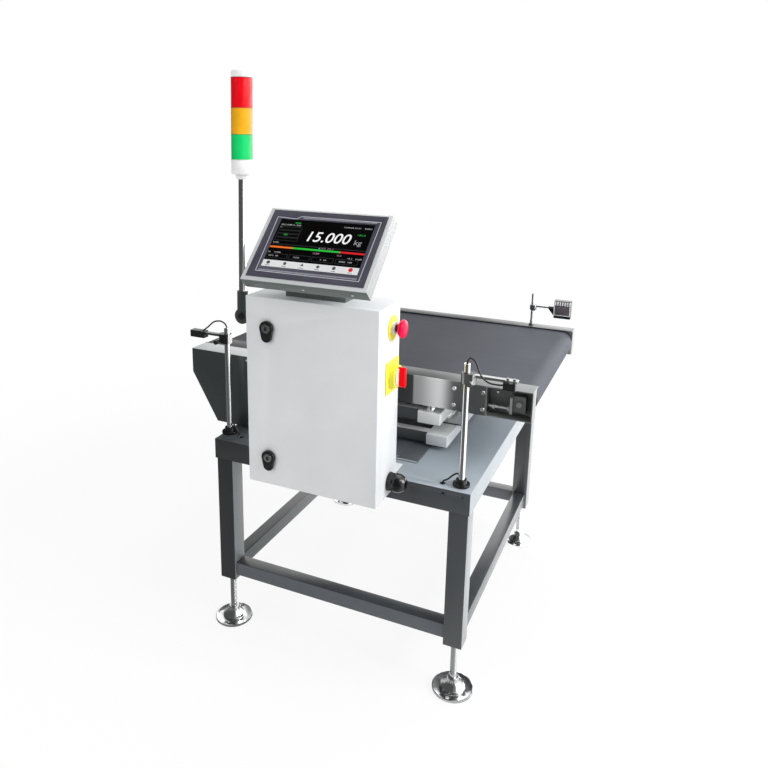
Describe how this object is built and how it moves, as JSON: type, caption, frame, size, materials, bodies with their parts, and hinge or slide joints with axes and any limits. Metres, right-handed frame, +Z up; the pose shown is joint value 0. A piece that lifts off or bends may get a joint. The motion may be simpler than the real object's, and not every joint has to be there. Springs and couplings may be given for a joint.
{
  "type": "checkweigher",
  "caption": "Belt checkweigher: a short conveyor on a weigh frame over a welded stand, with control cabinet, tilted touch display, signal tower and post-mounted sensors",
  "frame": {"origin": "on the floor, at the middle of the machine's footprint box", "axes": "+X along the belt from the drive end to the tail end, +Y from the cabinet to the rear, +Z up"},
  "size_m": [0.906, 0.967, 1.4112],
  "materials": {
    "frame_paint": "satin powder coat, dark grey",
    "cover_paint": "satin powder coat, mid grey",
    "zinc": "zinc-plated steel",
    "foot_steel": "turned stainless steel",
    "black_rubber": "matt black rubber",
    "beam_grey": "satin light grey paint",
    "beam_white": "satin near-white paint",
    "cell_steel": "nickel-plated alloy steel",
    "stud_chrome": "bright turned steel",
    "side_steel": "brushed stainless sheet",
    "bed_steel": "stainless sheet",
    "belt_rubber": "matt dark grey belt",
    "roller_steel": "turned steel",
    "bearing_iron": "painted iron",
    "guard_paint": "dark grey paint",
    "motor_paint": "dark grey paint",
    "pulley_alloy": "machined alloy",
    "cabinet_paint": "light grey powder coat",
    "lock_black": "black plastic",
    "lock_chrome": "chromed die casting",
    "galvanised": "galvanised sheet",
    "device_plastic": "moulded plastic",
    "gland_nylon": "black nylon",
    "yellow_plastic": "yellow plastic",
    "red_plastic": "red plastic",
    "housing_paint": "light grey paint",
    "bezel_film": "printed film",
    "screen_glass": "dark screen glass",
    "tower_grey": "dark grey die casting",
    "pole_chrome": "bright steel tube",
    "lamp_white": "white plastic",
    "lens_green": "green lens",
    "lens_amber": "amber lens",
    "lens_red": "red lens",
    "post_steel": "bright steel tube",
    "sensor_black": "black plastic",
    "lead_black": "black cable jacket"
  },
  "bodies": {
    "stand": {"legs": "frame_paint", "frame_rails": "frame_paint", "table_cover": "cover_paint", "leg_inserts": "zinc", "scale_base_plate": "cover_paint", "beam_pads": "black_rubber", "lower_frame": "beam_grey", "load_cells": "cell_steel", "upper_frame": "beam_white", "support_studs": "stud_chrome", "conveyor_side_near": "side_steel", "conveyor_side_far": "side_steel", "belt_bed": "bed_steel", "conveyor_belt": "belt_rubber", "side_cover": "side_steel", "drive_bearings": "bearing_iron", "drive_guard": "guard_paint", "gear_motor": "motor_paint", "timing_belt": "black_rubber", "cabinet_shell": "cabinet_paint", "cabinet_bracket": "cabinet_paint", "gear_plate": "galvanised", "cabinet_devices": "device_plastic", "cable_gland": "gland_nylon", "switch_plate": "yellow_plastic", "stop_base": "yellow_plastic", "display_neck": "housing_paint", "display_housing": "housing_paint", "display_bezel": "bezel_film", "touch_screen": "screen_glass", "tower_bracket": "tower_grey", "post_right": "post_steel", "post_left": "post_steel", "post_far": "post_steel", "sensor_leads": "lead_black", "fasteners": "zinc"},
    "front_left_foot": {"foot_front_left": "foot_steel"},
    "front_right_foot": {"foot_front_right": "foot_steel"},
    "rear_left_foot": {"foot_rear_left": "foot_steel"},
    "rear_right_foot": {"foot_rear_right": "foot_steel"},
    "drive": {"drive_roller": "roller_steel"},
    "rotor": {"motor_pulley": "pulley_alloy"},
    "take_up": {"take_up_blocks": "zinc"},
    "tail": {"tail_roller": "roller_steel"},
    "door": {"cabinet_door": "cabinet_paint", "door_gasket": "black_rubber", "lock_housings": "lock_black"},
    "upper_lock": {"lock_upper": "lock_chrome"},
    "lower_lock": {"lock_lower": "lock_chrome"},
    "stop": {"stop_button": "red_plastic"},
    "main_switch": {"switch_handle": "red_plastic"},
    "tower": {"tower_pole": "pole_chrome", "lamp_base": "lamp_white", "lamp_green": "lens_green", "lamp_amber": "lens_amber", "lamp_red": "lens_red", "lamp_cap": "lamp_white"},
    "right_sensor": {"sensor_right": "sensor_black"},
    "left_sensor": {"sensor_left": "sensor_black"},
    "far_reflector": {"reflector": "sensor_black"}
  },
  "joints": [
    {"name": "front_left_foot_level", "type": "slide", "parent": "stand", "child": "front_left_foot", "axis": [0, 0, 1], "range_m": [-0.02, 0.08]},
    {"name": "front_right_foot_level", "type": "slide", "parent": "stand", "child": "front_right_foot", "axis": [0, 0, 1], "range_m": [-0.02, 0.08]},
    {"name": "rear_left_foot_level", "type": "slide", "parent": "stand", "child": "rear_left_foot", "axis": [0, 0, 1], "range_m": [-0.02, 0.08]},
    {"name": "rear_right_foot_level", "type": "slide", "parent": "stand", "child": "rear_right_foot", "axis": [0, 0, 1], "range_m": [-0.02, 0.08]},
    {"name": "drive_spin", "type": "hinge", "parent": "stand", "child": "drive", "pos_m": [-0.416, 0.0485, 0.673], "axis": [0, 1, 0], "continuous": true},
    {"name": "motor_spin", "type": "hinge", "parent": "stand", "child": "rotor", "pos_m": [-0.32, -0.2215, 0.582], "axis": [0, 1, 0], "continuous": true},
    {"name": "take_up_slide", "type": "slide", "parent": "stand", "child": "take_up", "axis": [1, 0, 0], "range_m": [-0.01, 0]},
    {"name": "tail_spin", "type": "hinge", "parent": "take_up", "child": "tail", "pos_m": [0.419, 0.0485, 0.673], "axis": [0, 1, 0], "continuous": true},
    {"name": "door_swing", "type": "hinge", "parent": "stand", "child": "door", "pos_m": [0.1895, -0.4269, 0.723], "axis": [0, 0, 1], "range_deg": [0, 120]},
    {"name": "upper_lock_turn", "type": "hinge", "parent": "door", "child": "upper_lock", "pos_m": [-0.072, -0.4456, 0.8735], "axis": [0, -1, 0], "range_deg": [0, 90]},
    {"name": "lower_lock_turn", "type": "hinge", "parent": "door", "child": "lower_lock", "pos_m": [-0.072, -0.4456, 0.573], "axis": [0, -1, 0], "range_deg": [0, 90]},
    {"name": "stop_push", "type": "slide", "parent": "stand", "child": "stop", "axis": [-1, 0, 0], "range_m": [0, 0.005], "stiffness_N_per_m": 3000},
    {"name": "main_switch_turn", "type": "hinge", "parent": "stand", "child": "main_switch", "pos_m": [0.1895, -0.3706, 0.783], "axis": [1, 0, 0], "range_deg": [0, 90]},
    {"name": "tower_fold", "type": "hinge", "parent": "stand", "child": "tower", "pos_m": [-0.159, -0.4038, 0.882], "axis": [0, -1, 0], "range_deg": [0, 90]},
    {"name": "right_sensor_turn", "type": "hinge", "parent": "stand", "child": "right_sensor", "pos_m": [0.334, -0.2975, 0.778], "axis": [0, 0, 1], "range_deg": [-60, 60]},
    {"name": "left_sensor_turn", "type": "hinge", "parent": "stand", "child": "left_sensor", "pos_m": [-0.293, -0.2815, 0.778], "axis": [0, 0, 1], "range_deg": [-60, 60]},
    {"name": "reflector_turn", "type": "hinge", "parent": "stand", "child": "far_reflector", "pos_m": [0.323, 0.4635, 0.77], "axis": [0, 0, 1], "range_deg": [-60, 60]}
  ],
  "couplings": [
    {"joint": "motor_spin", "follows": "drive_spin", "ratio": 1},
    {"joint": "tail_spin", "follows": "drive_spin", "ratio": 1}
  ]
}
